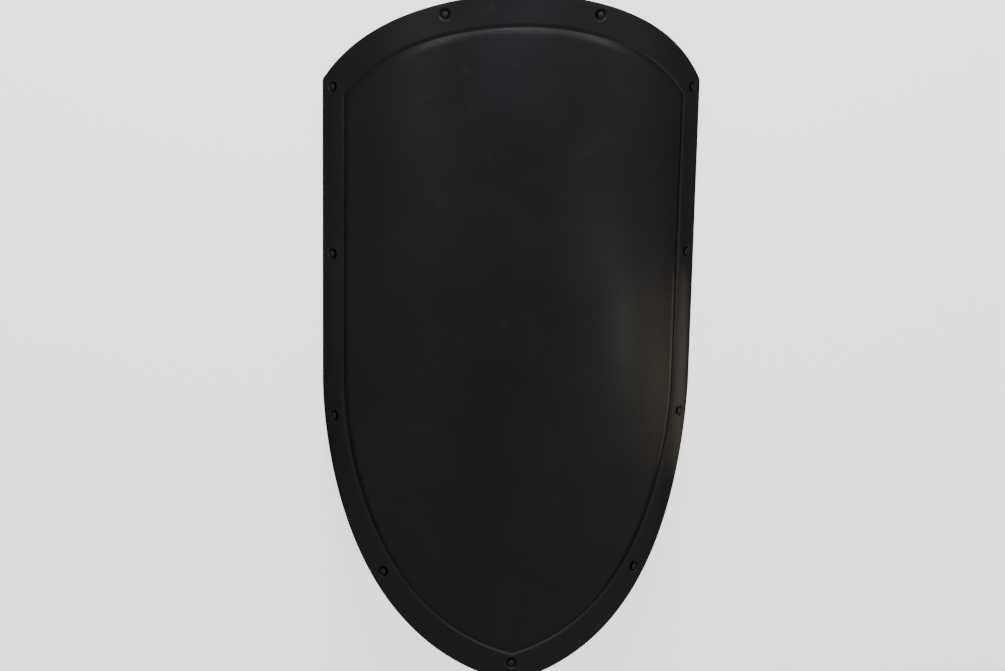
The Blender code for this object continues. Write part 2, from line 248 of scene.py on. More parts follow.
# What follows from those and from the solids.
AXIS_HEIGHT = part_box("border_band")[1].z - BEND_RADIUS
BACK_RADIUS = BEND_RADIUS - PLATE_THICKNESS
CROWN_RADIUS = (HALF_WIDTH ** 2 + CROWN_RISE ** 2) / (2 * CROWN_RISE)
CROWN_CENTRE = HEIGHT / 2 - CROWN_RADIUS
SHOULDER_HEIGHT = HEIGHT / 2 - CROWN_RISE - SIDE_LENGTH
STEP_FOOT = BAND_WIDTH + CHANNEL_WIDTH
STEP_TOP = STEP_FOOT + STEP_WIDTH
AROUND = 2 * (CROWN_COLUMNS + CORNER_COLUMNS + SIDE_COLUMNS + POINT_COLUMNS)
BORE_LENGTH = 10 * BAND_THICKNESS
FINE_REACH = 1.6 * DISH_BRIM
LIP_REACH = 2 * DISH_BRIM
# How far from a rivet's middle the painted shade in its seat reaches.
PAINTED_SHADE_REACH = 0.85 * DISH_BRIM
BAND_WEAR = 1.6 * BAND_ROUNDING


# Working with Blender's operators.


def deselect():
    bpy.ops.object.select_all(action="DESELECT")


def take_only(obj):
    deselect()
    obj.select_set(True)
    bpy.context.view_layer.objects.active = obj


def named(name):
    """The active object, under its own name."""
    obj = bpy.context.object
    obj.name = obj.data.name = name
    return obj


def add(operator, name, **settings):
    """Adds a primitive, a light or a camera, with nothing else selected."""
    deselect()
    operator(**settings)
    return named(name)


@contextmanager
def editing(obj, mode="FACE"):
    take_only(obj)
    bpy.ops.object.mode_set(mode="EDIT")
    bpy.ops.mesh.select_mode(type=mode)
    bpy.ops.mesh.select_all(action="DESELECT")
    yield
    bpy.ops.object.mode_set(mode="OBJECT")


def pick(obj, kind, test):
    """Selects what passes the test, of the faces, edges or verts of the mesh that is being edited."""
    bpy.ops.mesh.select_all(action="DESELECT")
    bm = bmesh.from_edit_mesh(obj.data)
    for item in getattr(bm, kind):
        if test(item):
            item.select_set(True)
    bmesh.update_edit_mesh(obj.data)


def apply_modifier(obj, kind, **settings):
    modifier = obj.modifiers.new(kind.lower(), kind)
    for name, value in settings.items():
        setattr(modifier, name, value)
    take_only(obj)
    bpy.ops.object.modifier_apply(modifier=modifier.name)


def settle(obj):
    """Puts the object's turn and place into its mesh."""
    take_only(obj)
    bpy.ops.object.transform_apply(location=True, rotation=True, scale=True)


def smooth(obj, degrees):
    take_only(obj)
    bpy.ops.object.shade_smooth_by_angle(angle=math.radians(degrees))


def weld(obj):
    with editing(obj, "VERT"):
        bpy.ops.mesh.select_all(action="SELECT")
        bpy.ops.mesh.remove_doubles(threshold=WELD_REACH)


def face_outwards(obj):
    with editing(obj):
        bpy.ops.mesh.select_all(action="SELECT")
        bpy.ops.mesh.normals_make_consistent(inside=False)


def copy_of(obj, name, place):
    """A copy with its own mesh, moved by a matrix."""
    twin = obj.copy()
    twin.data = obj.data.copy()
    twin.name = twin.data.name = name
    twin.data.transform(place)
    bpy.context.scene.collection.objects.link(twin)
    return twin


def join(pieces, name):
    take_only(pieces[0])
    for piece in pieces:
        piece.select_set(True)
    bpy.ops.object.join()
    return named(name)


def cut(obj, cutter):
    apply_modifier(obj, "BOOLEAN", operation="DIFFERENCE", object=cutter)
    bpy.data.objects.remove(cutter)


def turned(name, profile):
    """A closed turned piece round the Z axis, from a profile of radius and height, top to bottom."""
    radius, height = profile[1]
    piece = add(
        bpy.ops.mesh.primitive_circle_add, name,
        vertices=TURNED_SIDES, radius=radius, location=(0, 0, height), fill_type="TRIFAN",
    )
    settle(piece)
    with editing(piece, "VERT"):
        pick(piece, "verts", lambda vert: not vert.is_boundary)
        bpy.ops.transform.translate(value=(0, 0, profile[0][1] - height))
    with editing(piece, "EDGE"):
        pick(piece, "edges", lambda edge: edge.is_boundary)
        for below_radius, below in profile[2:-1]:
            bpy.ops.mesh.extrude_edges_move(TRANSFORM_OT_translate={"value": (0, 0, below - height)})
            share = below_radius / radius
            bpy.ops.transform.resize(value=(share, share, 1), center_override=(0, 0, below))
            radius, height = below_radius, below
        bpy.ops.mesh.extrude_edges_move(TRANSFORM_OT_translate={"value": (0, 0, profile[-1][1] - height)})
        bpy.ops.mesh.merge(type="CENTER")
    face_outwards(piece)
    return piece


def quarter_turn(steps):
    """The angles of a quarter turn, from 0 on."""
    return [math.pi / 2 * i / steps for i in range(steps + 1)]


def eased(share):
    """The share, slow at both ends."""
    return share * share * (3 - 2 * share)


# Shader nodes.


def feed(tree, node, inputs):
    """Sets a node's inputs to plain values, or links them to other nodes' outputs."""
    for name, value in inputs.items():
        if isinstance(value, bpy.types.NodeSocket):
            tree.links.new(value, node.inputs[name])
        else:
            node.inputs[name].default_value = value


def add_node(tree, kind, inputs=None, **settings):
    node = tree.nodes.new(f"ShaderNode{kind}")
    for name, value in settings.items():
        setattr(node, name, value)
    feed(tree, node, inputs or {})
    return node


def calc(tree, operation, *values):
    return add_node(tree, "Math", dict(enumerate(values)), operation=operation).outputs[0]


def times(tree, first, second):
    return calc(tree, "MULTIPLY", first, second)


def added(tree, value, *parts):
    """The value, with the amount of each part added by the share that its mask gives."""
    for mask, amount in parts:
        value = calc(tree, "MULTIPLY_ADD", mask, amount, value)
    return value


def broken(tree, level, pattern, amount):
    """The level, broken up by this amount of a noise, whose middle is 0.5."""
    return added(tree, level, (calc(tree, "SUBTRACT", pattern, 0.5), amount))


def fade(tree, value, start, end):
    """Runs smoothly from 0 where the value is at start to 1 where it is at end."""
    ends = {"Value": value, "From Min": start, "From Max": end}
    return add_node(tree, "MapRange", ends, interpolation_type="SMOOTHSTEP").outputs["Result"]


def layered(tree, colour, *layers):
    """The colour under layers of others, each with the share that it covers."""
    for share, layer in layers:
        colour = add_node(tree, "Mix", {0: share, 6: colour, 7: layer}, data_type="RGBA").outputs[2]
    return colour


def noise(tree, vector, scale, detail, distortion=0.0):
    settings = {"Vector": vector, "Scale": scale, "Detail": detail, "Distortion": distortion}
    return add_node(tree, "TexNoise", settings).outputs["Fac"]


def stretched(tree, vector, scale, turn=0):
    """The vector scaled along each axis, and turned round Z by degrees."""
    mapping = {"Vector": vector, "Rotation": (0, 0, math.radians(turn)), "Scale": scale}
    return add_node(tree, "Mapping", mapping).outputs["Vector"]


def attribute(tree, name, kind="Fac"):
    return add_node(tree, "Attribute", attribute_name=name).outputs[kind]


def object_place(tree):
    return add_node(tree, "TexCoord").outputs["Object"]


def make_group(effect, **inputs):
    """A node group of an effect, which takes a place, and numbers given here with their first values."""
    tree = bpy.data.node_groups.new(effect.__name__, "ShaderNodeTree")
    tree.interface.new_socket("Place", in_out="INPUT", socket_type="NodeSocketVector")
    for label, value in inputs.items():
        socket = tree.interface.new_socket(label, in_out="INPUT", socket_type="NodeSocketFloat")
        socket.default_value = value
    given = tree.nodes.new("NodeGroupInput").outputs
    outputs = effect(tree, *(given[label] for label in ("Place", *inputs)))
    for label in outputs:
        tree.interface.new_socket(label, in_out="OUTPUT", socket_type="NodeSocketFloat")
    feed(tree, tree.nodes.new("NodeGroupOutput"), outputs)


def use(tree, group, place, **inputs):
    return add_node(tree, "Group", {"Place": place, **inputs}, node_tree=bpy.data.node_groups[group]).outputs


# Effects that the finishes use, each made into a node group. Their places and numbers are sockets.


def sprayed_paint(tree, place, peel):
    """The skin of sprayed paint: its orange peel, its fine tooth, and the slow changes in its sheen."""
    bumps = noise(tree, place, scale=330, detail=1)
    tooth = noise(tree, place, scale=1700, detail=3)
    cloud = noise(tree, place, scale=9, detail=4, distortion=0.6)
    speck = noise(tree, place, scale=620, detail=0)
    spot = noise(tree, place, scale=42, detail=1)
    return {
        "Height": added(tree, times(tree, tooth, 0.35), (bumps, peel)),
        "Cloud": fade(tree, cloud, 0.3, 0.7),
        "Speck": fade(tree, speck, 0.76, 0.84),
        "Spot": fade(tree, spot, 0.66, 0.82),
    }


def scuff(tree, place, length, width):
    """One faint rub mark: an oval broken up into streaks. Its place is counted along and across it."""
    along, across, _ = add_node(tree, "SeparateXYZ", {0: place}).outputs
    reach = calc(tree, "DIVIDE", along, times(tree, length, 0.5))
    spread = calc(tree, "DIVIDE", across, times(tree, width, 0.5))
    away = calc(tree, "SQRT", added(tree, times(tree, spread, spread), (reach, reach)))
    streaks = noise(tree, stretched(tree, place, (80, 500, 80)), scale=1, detail=3)
    return {"Mask": fade(tree, broken(tree, away, streaks, 1.0), 1.3, 0.3)}


def rubbed_edge(tree, place, exposure, amount, scale):
    """Where handling has rubbed the finish: broken patches that follow what stands proud."""
    level = broken(tree, exposure, noise(tree, place, scale, detail=5, distortion=0.4), 2.2)
    start = calc(tree, "SUBTRACT", 1.15, amount)
    mask = fade(tree, level, start, calc(tree, "ADD", start, 0.22))
    return {"Mask": times(tree, mask, fade(tree, exposure, 0.0, 0.3))}


def fine_scratches(tree, place, amount):
    """Short hairline scratches in a few directions, gathered in patches."""
    lines = 0.0
    for turn, along in SCRATCH_SETS:
        run = noise(tree, stretched(tree, place, (1500, along, along), turn), scale=1, detail=0)
        lines = calc(tree, "MAXIMUM", lines, fade(tree, run, 0.73, 0.80))
    patches = noise(tree, place, scale=17, detail=2)
    start = calc(tree, "SUBTRACT", 0.85, times(tree, amount, 0.4))
    return {"Mask": times(tree, lines, fade(tree, patches, start, calc(tree, "ADD", start, 0.12)))}


def settled_dust(tree, place, shelter, amount):
    """Pale dust that gathers where it can't be wiped away."""
    grain = noise(tree, place, scale=240, detail=5)
    drift = noise(tree, place, scale=21, detail=3, distortion=0.5)
    spread = times(tree, fade(tree, grain, 0.35, 0.75), fade(tree, drift, 0.3, 0.7))
    return {"Mask": times(tree, spread, times(tree, shelter, amount))}


def painted_corner_shade(tree, place, shelter):
    """Painted shade: black that lies in the corners where shadow falls, and takes away the shine there."""
    shade_breakup = noise(tree, place, scale=420, detail=3, distortion=0.3)
    darkest = fade(tree, broken(tree, shelter, shade_breakup, 0.9), 0.15, 0.75)
    return {"Mask": times(tree, darkest, fade(tree, shelter, 0.0, 0.25))}


def hide_grain(tree, place, cell):
    """The pebbled grain of leather, with its hair pores and fine folds."""
    bent = noise(tree, place, scale=260, detail=2)
    warp = add_node(tree, "VectorMath", {0: place, 1: bent, 2: place}, operation="MULTIPLY_ADD").outputs[0]
    cells = add_node(tree, "TexVoronoi", {"Vector": warp, "Scale": cell}, feature="DISTANCE_TO_EDGE")
    pebbles = fade(tree, cells.outputs["Distance"], 0.0, 0.28)
    pores = fade(tree, noise(tree, place, scale=1500, detail=0), 0.30, 0.24)
    folds = noise(tree, place, scale=140, detail=4)
    return {"Height": added(tree, pebbles, (folds, 0.8), (pores, -1)), "Pebbles": pebbles}


make_group(sprayed_paint, Peel=1.0)
make_group(scuff, Length=0.02, Width=0.005)
make_group(rubbed_edge, Exposure=0.0, Amount=0.5, Scale=90.0)
make_group(fine_scratches, Amount=0.5)
make_group(settled_dust, Shelter=0.0, Amount=0.5)
make_group(painted_corner_shade, Shelter=0.0)
make_group(hide_grain, Cell=850.0)


# Finishes.


def new_finish(name):
    material = bpy.data.materials.new(name)
    material.use_nodes = True
    tree = material.node_tree
    return material, tree, tree.nodes["Principled BSDF"], object_place(tree)


def bump(tree, height, depth):
    return add_node(tree, "Bump", {"Height": height, "Distance": depth}).outputs[0]


def none(tree):
    return 0.0


def paint_finish(
    name, shelter, corner, exposure, worn=PAINT_RUBBED, scuffs=none, peel=1.0, rub=0.4, scratches=0.4
):
    """Satin black paint.

    Shelter, corner, exposure and scuffs are functions that build masks of where dust stays, where painted
    shade darkens the corners, what gets rubbed, and what is scuffed.
    """
    material, tree, shader, place = new_finish(name)
    skin = use(tree, "sprayed_paint", place, Peel=peel)
    dusty = use(tree, "settled_dust", place, Shelter=shelter(tree), Amount=DUST_AMOUNT)["Mask"]
    painted_shade = use(tree, "painted_corner_shade", place, Shelter=corner(tree))["Mask"]
    rubbed = use(tree, "rubbed_edge", place, Exposure=exposure(tree), Amount=rub)["Mask"]
    scratched = use(tree, "fine_scratches", place, Amount=scratches)["Mask"]

    colour = layered(
        tree, PAINT_DEEP,
        (skin["Cloud"], PAINT_WORN),
        (times(tree, scratched, SCRATCH_SHARE), SCRATCH_GREY),
        (times(tree, skin["Spot"], SPOT_SHARE), DUST_GREY),
        (scuffs(tree), SCUFF_GREY),
        (dusty, DUST_GREY),
        (rubbed, worn),
        # Painted shade in the rivets' seats and at the foot of their heads.
        (painted_shade, PAINTED_SHADE_BLACK),
    )
    roughness = added(
        tree, PAINT_ROUGHNESS,
        (skin["Cloud"], CLOUD_ROUGHENS),
        (dusty, DUST_ROUGHENS),
        (skin["Speck"], SPECK_ROUGHENS),
    )
    height = added(tree, skin["Height"], (scratched, -SCRATCH_CUT), (rubbed, -RUBBED_CUT))
    bare = times(tree, rubbed, RUBBED_METAL)
    # The painted shade also takes the shine away, through Metallic over its near-black colour.
    shineless = times(tree, painted_shade, PAINTED_SHADE_DULLNESS)
    feed(tree, shader, {
        "Base Color": colour, "Roughness": roughness, "Normal": bump(tree, height, PAINT_SKIN),
        "Metallic": calc(tree, "MAXIMUM", bare, shineless), "Specular IOR Level": PAINT_GLOSS,
    })
    return material


def field_scuffs(tree):
    """All the field's rub marks, each placed by a mapping of its own."""
    marks = 0.0
    for spot, length, width, turn, strength in SCUFFS:
        laid = {"Location": (*spot, 0), "Rotation": (0, 0, math.radians(turn)), "Vector": object_place(tree)}
        place = add_node(tree, "Mapping", laid, vector_type="TEXTURE").outputs["Vector"]
        mark = use(tree, "scuff", place, Length=length, Width=width)["Mask"]
        marks = added(tree, marks, (mark, strength))
    return marks


def field_shelter(tree):
    """Dust lies in the channel and at the very foot of the step."""
    return fade(tree, attribute(tree, "inset"), STEP_FOOT + DUST_END * STEP_WIDTH, STEP_FOOT)


def field_exposure(tree):
    """A strip along the lower half of the step is what gets rubbed."""
    middle = STEP_FOOT + RUB_MIDDLE * STEP_WIDTH
    away = calc(tree, "ABSOLUTE", calc(tree, "SUBTRACT", attribute(tree, "inset"), middle))
    return fade(tree, away, RUB_REACH * STEP_WIDTH, 0.0)


def seat_shade(tree):
    """Painted shade lies on the floor of each rivet's seat, round the head, and thins out up the wall."""
    return fade(tree, attribute(tree, "rivet"), PAINTED_SHADE_REACH, DISH_FLOOR)


def band_exposure(tree):
    """The band's two edges are what gets rubbed."""
    inset = attribute(tree, "inset")
    nearest = calc(tree, "MINIMUM", inset, calc(tree, "SUBTRACT", BAND_WIDTH, inset))
    return fade(tree, nearest, BAND_WEAR, 0.0)


def head_shade(tree):
    """Painted shade lies at the foot of each rivet's head."""
    return fade(tree, attribute(tree, "proud"), 0.70, 0.35)


def head_exposure(tree):
    """The crown of each rivet's head is what gets rubbed."""
    return fade(tree, attribute(tree, "proud"), 0.45, 1.0)


def leather_finish():
    """Black bridle leather: pebbled, creased across where it bends, its edges burnished smooth."""
    material, tree, shader, place = new_finish("bridle_leather")
    strap_place = attribute(tree, "strap_place", "Vector")
    from_edge = add_node(tree, "SeparateXYZ", {0: strap_place}).outputs["X"]
    grain = use(tree, "hide_grain", place)
    edge = fade(tree, from_edge, 1.2 * EDGE_ROUNDING, 0.3 * EDGE_ROUNDING)
    rubbed = use(tree, "rubbed_edge", place, Exposure=edge, Amount=0.42, Scale=60.0)["Mask"]
    dusty = use(tree, "settled_dust", place, Shelter=0.5, Amount=0.3)["Mask"]
    across = stretched(tree, strap_place, (60, 480, 0))
    creases = fade(tree, noise(tree, across, scale=1, detail=2, distortion=0.3), 0.42, 0.30)

    colour = layered(
        tree, LEATHER_DEEP,
        (grain["Pebbles"], LEATHER_TOP),
        (times(tree, creases, 0.5), LEATHER_DEEP),
        (dusty, DUST_GREY),
        (rubbed, LEATHER_RUBBED),
    )
    roughness = added(tree, LEATHER_ROUGHNESS, (edge, -0.14), (grain["Pebbles"], -0.08))
    height = added(tree, grain["Height"], (creases, -1.1))
    height = times(tree, height, added(tree, 1.0, (edge, -0.85)))
    feed(tree, shader, {
        "Base Color": colour, "Roughness": roughness, "Normal": bump(tree, height, LEATHER_GRAIN),
        "Specular IOR Level": LEATHER_GLOSS,
    })
    return material


def thread_finish():
    """Waxed linen thread, darkened by handling."""
    material, tree, shader, place = new_finish("waxed_thread")
    strands = noise(tree, stretched(tree, place, (2600, 900, 900), 35), scale=1, detail=2)
    wear = noise(tree, place, scale=45, detail=3)
    colour = layered(
        tree, THREAD_DEEP,
        (fade(tree, strands, 0.35, 0.65), THREAD_TOP),
        (fade(tree, wear, 0.55, 0.75), THREAD_DEEP),
    )
    roughness = added(tree, THREAD_ROUGHNESS, (wear, 0.15))
    normal = bump(tree, strands, THREAD_TWIST)
    feed(tree, shader, {"Base Color": colour, "Roughness": roughness, "Normal": normal})
    return material


def steel_finish():
    """Blackened steel: file marks along each plate, and bare metal where its edges are rubbed."""
    material, tree, shader, place = new_finish("blackened_steel")
    marks = noise(tree, stretched(tree, place, (90, 1900, 90), 8), scale=1, detail=3)
    cloud = noise(tree, place, scale=130, detail=4, distortion=0.5)
    proud = fade(tree, add_node(tree, "NewGeometry").outputs["Pointiness"], 0.505, 0.58)
    rubbed = use(tree, "rubbed_edge", place, Exposure=proud, Amount=0.55, Scale=200.0)["Mask"]
    dusty = use(tree, "settled_dust", place, Shelter=0.6, Amount=0.25)["Mask"]

    colour = layered(
        tree, STEEL_BLACK,
        (fade(tree, cloud, 0.35, 0.68), STEEL_BLUE),
        (dusty, DUST_GREY),
        (rubbed, STEEL_BARE),
    )
    feed(tree, shader, {
        "Base Color": colour, "Roughness": added(tree, STEEL_ROUGHNESS, (cloud, 0.15), (marks, 0.2)),
        "Normal": bump(tree, marks, FILE_MARKS), "Metallic": added(tree, STEEL_METAL, (rubbed, 0.3)),
    })
    return material


def floor_finish():
    """Pale and plain to look at, and clear from below, so that the shield's back can be looked at too.

    What the paint reflects of it is dark, as if black cloth lay round the shield.
    """
    material, tree, shader, place = new_finish("pale_floor")
    pale = layered(tree, FLOOR_PALE, (noise(tree, place, scale=3, detail=3), FLOOR_PALER))
    seen = add_node(tree, "LightPath").outputs["Is Camera Ray"]
    feed(tree, shader, {
        "Base Color": layered(tree, FLOOR_REFLECTED, (seen, pale)),
        "Emission Color": layered(tree, UNLIT, (seen, FLOOR_GLOW)),
        "Emission Strength": 1.0, "Roughness": FLOOR_ROUGHNESS, "Specular IOR Level": 0.0,
    })
    under = add_node(tree, "NewGeometry").outputs["Backfacing"]
    clear = add_node(tree, "BsdfTransparent").outputs["BSDF"]
    mixed = add_node(tree, "MixShader", {0: under, 1: shader.outputs["BSDF"], 2: clear}).outputs["Shader"]
    feed(tree, tree.nodes["Material Output"], {"Surface": mixed})
    return material


# The sheet's outline, as in a drawing of it.


def crown_place(inset, angle):
    radius = CROWN_RADIUS - inset
    return Vector((radius * math.sin(angle), CROWN_CENTRE + radius * math.cos(angle)))


def corner_angle(inset):
    return math.asin((HALF_WIDTH - inset) / (CROWN_RADIUS - inset))


def point_place(inset, t):
    """A place set in from the right edge below the shoulder. t is 0 at the shoulder and 1 at the point."""
    shoulder, point = Vector((HALF_WIDTH, SHOULDER_HEIGHT)), Vector((0, -HEIGHT / 2))
    pull_down = shoulder - Vector((0, SIDE_PULL))
    pull_out = point + POINT_PULL * Vector((math.cos(POINT_SLOPE), math.sin(POINT_SLOPE)))
    u = 1 - t
    place = u ** 3 * shoulder + 3 * u * u * t * pull_down + 3 * u * t * t * pull_out + t ** 3 * point
    heading = u * u * (pull_down - shoulder) + 2 * u * t * (pull_out - pull_down) + t * t * (point - pull_out)
    heading.normalize()
    return place + inset * Vector((heading.y, -heading.x))


def point_end(inset):
    """The t at which the right edge, set in, comes to the middle line."""
    low, high = 0.5, 1.0
    for _ in range(HALVINGS):
        middle = (low + high) / 2
        low, high = (middle, high) if point_place(inset, middle).x > 0 else (low, middle)
    return high


def edge_line(inset):
    """The closed outline, set in from the edge: AROUND places, clockwise from the crown's middle."""
    radius = max(CORNER_RADIUS - inset, 0)
    corner = corner_angle(max(inset, CORNER_RADIUS))
    centre = crown_place(max(inset, CORNER_RADIUS), corner)
    half = [crown_place(inset, corner * i / CROWN_COLUMNS) for i in range(CROWN_COLUMNS + 1)]
    for i in range(1, CORNER_COLUMNS + 1):
        angle = corner + (math.pi / 2 - corner) * i / CORNER_COLUMNS
        half.append(centre + radius * Vector((math.sin(angle), math.cos(angle))))
    top, shoulder = half[-1], point_place(inset, 0)
    half += [top.lerp(shoulder, i / SIDE_COLUMNS) for i in range(1, SIDE_COLUMNS + 1)]
    end = point_end(inset)
    half += [point_place(inset, end * i / POINT_COLUMNS) for i in range(1, POINT_COLUMNS + 1)]
    half[-1].x = 0
    return half + [Vector((-place.x, place.y)) for place in reversed(half[1:-1])]


def add_ring(name, rows):
    """A ring of faces that follows the outline: one line of points for each inset and height in rows.

    Its points keep their inset as an attribute, for the finishes that follow an edge.
    """
    ring = add(
        bpy.ops.mesh.primitive_grid_add, name, x_subdivisions=AROUND, y_subdivisions=len(rows) - 1, size=1
    )
    insets = ring.data.attributes.new("inset", "FLOAT", "POINT")
    lines = [edge_line(inset) for inset, _ in rows]
    for vert in ring.data.vertices:
        column = round((0.5 - vert.co.x) * AROUND) % AROUND
        row = round((vert.co.y + 0.5) * (len(rows) - 1))
        vert.co = (*lines[row][column], rows[row][1])
        insets.data[vert.index].value = rows[row][0]
    weld(ring)
    return ring


def bend(obj):
    """Stands the flat sheet up, bends it round the cylinder, and lays it down where the solids are."""
    obj.rotation_euler.x = math.pi / 2
    settle(obj)
    angle = obj.dimensions.x / BEND_RADIUS
    apply_modifier(obj, "SIMPLE_DEFORM", deform_method="BEND", deform_axis="Z", angle=angle)
    obj.rotation_euler.x = -math.pi / 2
    obj.location.z = AXIS_HEIGHT + BEND_RADIUS
    settle(obj)


# Where the rivets are, read from their solids.


def flat_place(name):
    """Where a rivet stands on the flat sheet."""
    corners = [vert.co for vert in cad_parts[name].data.vertices]
    middle = sum(corners, Vector()) / len(corners)
    angle = math.atan2(middle.x, middle.z - AXIS_HEIGHT)
    return Vector((BEND_RADIUS * angle, middle.y))


RIVET_PLACES = {name: flat_place(name) for name in sorted(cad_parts) if name.startswith("rivet_")}


def rivet_distance(place):
    return min((place.xy - spot).length for spot in RIVET_PLACES.values())


def cut_bores(sheet):
    """Bores the flat sheet for every rivet's shank."""
    bores = []
    for spot in RIVET_PLACES.values():
        bores.append(add(
            bpy.ops.mesh.primitive_cylinder_add, "bore", vertices=TURNED_SIDES, radius=RIVET_BORE,
            depth=BORE_LENGTH, location=(*spot, 0),
        ))
    cut(sheet, join(bores, "bores"))


# The plate.


def fill_field(plate):
    """Fills the ring's inner edge with a grid, and counts its points' insets on from there."""
    with editing(plate, "EDGE"):
        pick(plate, "edges", lambda edge: edge.is_boundary and edge.verts[0].co.z > -BAND_DROP / 2)
        bm = bmesh.from_edit_mesh(plate.data)
        rim = [vert for vert in bm.verts if vert.select]
        left_corner = Vector((STEP_TOP - HALF_WIDTH, HEIGHT / 2, 0))
        bm.select_history.clear()
        bm.select_history.add(min(rim, key=lambda vert: (vert.co - left_corner).length))
        rim_tree = KDTree(len(rim))
        for i, vert in enumerate(rim):
            rim_tree.insert(vert.co, i)
        rim_tree.balance()
        ring_size = len(bm.verts)
        bpy.ops.mesh.fill_grid(span=2 * CROWN_COLUMNS, use_interp_simple=True)
    insets = plate.data.attributes["inset"]
    for vert in plate.data.vertices[ring_size:]:
        insets.data[vert.index].value = STEP_TOP + rim_tree.find(vert.co)[2]


def wave_field(plate):
    """The slow waves that hammering leaves in the sheet, fading out towards the step."""
    waves = bpy.data.textures.new("waves", "CLOUDS")
    waves.noise_scale = WAVE_LENGTH
    waves.noise_depth = 1
    group = plate.vertex_groups.new(name="field")
    for vert in plate.data.vertices:
        share = (plate.data.attributes["inset"].data[vert.index].value - STEP_TOP) / WAVE_FADE
        group.add([vert.index], min(max(share, 0), 1) ** 2, "REPLACE")
    apply_modifier(
        plate, "DISPLACE", texture=waves, texture_coords="LOCAL", direction="Z", strength=WAVE_HEIGHT,
        vertex_group="field",
    )
    plate.vertex_groups.clear()


def make_plate():
    """The plate: its border, the step, steep at its foot and easing out, and the field."""
    rows = [(STEP_FOOT * i / BORDER_ROWS, -BAND_DROP) for i in range(BORDER_ROWS)]
    shares = [i / STEP_ROWS for i in range(STEP_ROWS + 1)]
    rows += [(STEP_FOOT + STEP_WIDTH * share, -BAND_DROP * (1 - share) ** STEP_EASING) for share in shares]
    plate = add_ring("plate", rows)
    fill_field(plate)
    wave_field(plate)
    plate.data.materials.append(field_paint)
    plate.data.materials.append(back_paint)
    apply_modifier(
        plate, "SOLIDIFY", thickness=PLATE_THICKNESS, offset=-1, use_even_offset=True, material_offset=1
    )
    cut_bores(plate)
    bend(plate)
    smooth(plate, SMOOTH_SHEET)
    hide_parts("shield_plate")
    return plate


# The border band.


def seat_depth(distance):
    """How deep the band is pressed at this distance from a rivet's middle: a flat dish with a raised lip."""
    wall = DISH_BRIM - DISH_FLOOR
    share = min(max((distance - DISH_FLOOR) / wall, 0), 1)
    lip = math.exp(-(((distance - DISH_BRIM) / wall) ** 2) * LIP_NARROWNESS)
    return DISH_DEPTH * (1 - eased(share)) - LIP_HEIGHT * lip


def band_section():
    """The band's section as insets and heights, from under its outer edge up, across and back under it."""
    turns = quarter_turn(EDGE_STEPS)
    outer = [(BAND_ROUNDING * (1 - math.cos(a)), BAND_ROUNDING * (math.sin(a) - 1)) for a in turns]
    shares = [i / SLOPE_STEPS for i in range(SLOPE_STEPS + 1)]
    inner = [(BAND_WIDTH - SLOPE_WIDTH * (1 - share), -SLOPE_DROP * eased(share)) for share in shares]
    flat = BAND_WIDTH - BAND_ROUNDING - SLOPE_WIDTH
    top = [(BAND_ROUNDING + flat * i / BAND_ROWS, 0) for i in range(1, BAND_ROWS)]
    under = [(BAND_WIDTH * (1 - i / BORDER_ROWS), -BAND_THICKNESS) for i in range(BORDER_ROWS + 1)]
    return [(0, -BAND_THICKNESS)] + outer + top + inner + under


def make_band():
    band = add_ring("band", band_section())
    with editing(band):
        pick(band, "faces", lambda face: (
            face.normal.z > SQUARE_ON and rivet_distance(face.calc_center_median()) < FINE_REACH
        ))
        bpy.ops.mesh.subdivide(number_cuts=SEAT_CUTS)
    distances = band.data.attributes.new("rivet", "FLOAT", "POINT")
    for vert in band.data.vertices:
        distance = rivet_distance(vert.co)
        distances.data[vert.index].value = distance
        if vert.co.z > -BAND_ROUNDING / 2 and distance < LIP_REACH:
            vert.co.z -= seat_depth(distance)
    cut_bores(band)
    bend(band)
    smooth(band, SMOOTH_SHEET)
    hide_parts("border_band")
    band.data.materials.append(band_paint)
    return band


# The rivets.


def dome(radius, base, height):
    """Radius and height down a low dome, from its top to the foot of its short upright rim."""
    lift = height - RIVET_RIM
    arc = [(radius * math.sin(a), base + RIVET_RIM + lift * math.cos(a)) for a in quarter_turn(DOME_STEPS)]
    return arc + [(radius, base)]


def make_rivets():
    head = SEAT_DEPTH * ((RIVET_RADIUS / SEAT_RADIUS) ** 2 - 1) + FIT_GAP
    tail = -BAND_DROP - PLATE_THICKNESS - FIT_GAP
    shank = [(RIVET_SHANK, head), (RIVET_SHANK, tail)]
    below = [(across, 2 * tail - level) for across, level in reversed(dome(TAIL_RADIUS, tail, TAIL_HEIGHT))]
    pattern = turned("rivet", dome(RIVET_RADIUS, head, RIVET_DOME) + shank + below)
    smooth(pattern, SMOOTH_RIVET)
    pattern.data.materials.append(rivet_paint)
    proud = pattern.data.attributes.new("proud", "FLOAT", "POINT")
    for vert in pattern.data.vertices:
        proud.data[vert.index].value = (vert.co.z - head) / RIVET_DOME
    rivets = []
    for name, spot in RIVET_PLACES.items():
        angle = spot.x / BEND_RADIUS
        stand = Matrix.Translation((0, spot.y, AXIS_HEIGHT)) @ Matrix.Rotation(angle, 4, "Y")
        rivet = copy_of(pattern, f"set_{name}", stand @ Matrix.Translation((0, 0, BEND_RADIUS)))
        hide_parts(name)
        rivets.append(rivet)
    bpy.data.objects.remove(pattern)
    return rivets


# The straps, each made against a back whose cylinder has its axis at the origin, and then moved into place.


def strap_path(span, room, seat):
    """The strap's upper face from one end to the other, as places along it and heights over the axis."""
    root = span / 2
    ends = Vector((root, seat, 0)), Vector((0, seat - room, 0))
    pulls = Vector((root * LOOP_ROOT_PULL, seat, 0)), Vector((root * LOOP_TOP_PULL, seat - room, 0))
    half = [Vector((root + FOOT_LENGTH, seat, 0))]
    half += interpolate_bezier(ends[0], pulls[0], pulls[1], ends[1], LOOP_STEPS)
    return [Vector((-place.x, place.y)) for place in half[:-1]] + [place.xy for place in reversed(half)]


